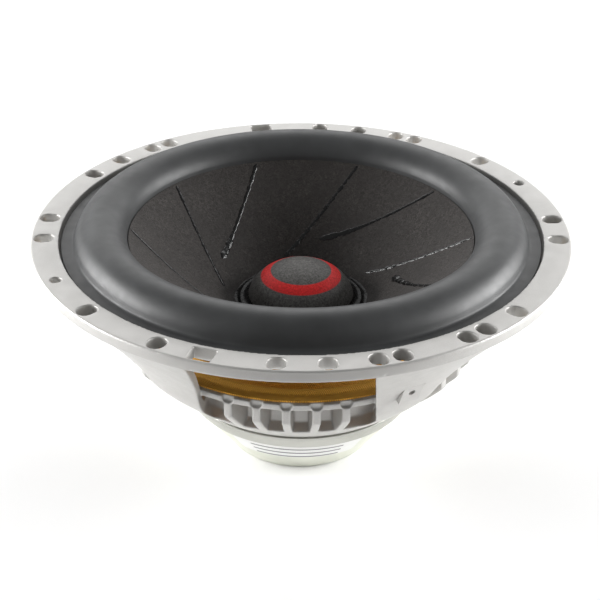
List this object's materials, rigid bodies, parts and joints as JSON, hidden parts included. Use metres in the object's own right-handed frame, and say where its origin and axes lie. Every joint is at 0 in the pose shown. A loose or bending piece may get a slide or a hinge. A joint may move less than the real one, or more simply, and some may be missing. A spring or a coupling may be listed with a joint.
{
  "type": "car woofer",
  "caption": "Round car woofer: cast five-arm basket, rubber surround, slitted paper cone with a domed dust cap, corrugated spider and a shallow tapered motor.",
  "frame": {"origin": "centre of the motor's base, which the woofer stands on", "axes": "+Z is the direction the cone faces; +X is to the right and -Y towards somebody who looks at the front window"},
  "size_m": [0.166, 0.166, 0.0795],
  "materials": {
    "cast_aluminium": "satin silver paint on a casting",
    "surround_rubber": "matt moulded rubber",
    "cone_paper": "matt fibrous pressed paper",
    "black_adhesive": "glossy cured glue",
    "former_film": "smooth amber polyimide film",
    "copper_wire": "enamelled copper",
    "spider_cloth": "resin-stiffened golden woven cloth",
    "plated_steel": "zinc plated, satin",
    "nickel_plate": "nickel plated",
    "copper_sheet": "bare copper",
    "dark_steel": "dark plated steel",
    "board_fibre": "matt black laminate",
    "gold_plate": "thin gold flash on brass",
    "rivet_steel": "zinc plated",
    "tinsel_braid": "woven copper tinsel",
    "label_paper": "satin white foil label, blank"
  },
  "bodies": {
    "frame": {"basket_flange": "cast_aluminium", "basket_arms": "cast_aluminium", "basket_bowl": "cast_aluminium", "basket_seat": "cast_aluminium", "basket_fins": "cast_aluminium", "arm_screw_pad": "cast_aluminium", "front_plate": "plated_steel", "yoke_cup": "plated_steel", "neodymium_magnet": "nickel_plate", "pole_plate": "plated_steel", "copper_cap": "copper_sheet", "motor_screws": "dark_steel", "terminal_board": "board_fibre", "terminal_tab_positive": "gold_plate", "terminal_tab_negative": "gold_plate", "terminal_rivets": "rivet_steel", "label": "label_paper"},
    "moving_assembly": {"surround": "surround_rubber", "cone": "cone_paper", "slit_adhesive": "black_adhesive", "dust_cap": "cone_paper", "cap_adhesive_ring": "black_adhesive", "voice_coil_former": "former_film", "voice_coil_winding": "copper_wire", "neck_adhesive": "black_adhesive", "spider": "spider_cloth", "lead_wire_positive": "tinsel_braid", "lead_wire_negative": "tinsel_braid", "lead_adhesive_dabs": "black_adhesive"}
  },
  "joints": [
    {"name": "cone_travel", "type": "slide", "parent": "frame", "child": "moving_assembly", "axis": [0, 0, 1], "range_m": [-0.006, 0.006], "stiffness_N_per_m": 1000, "deforming": ["surround", "spider", "lead_wire_positive", "lead_wire_negative"]}
  ]
}
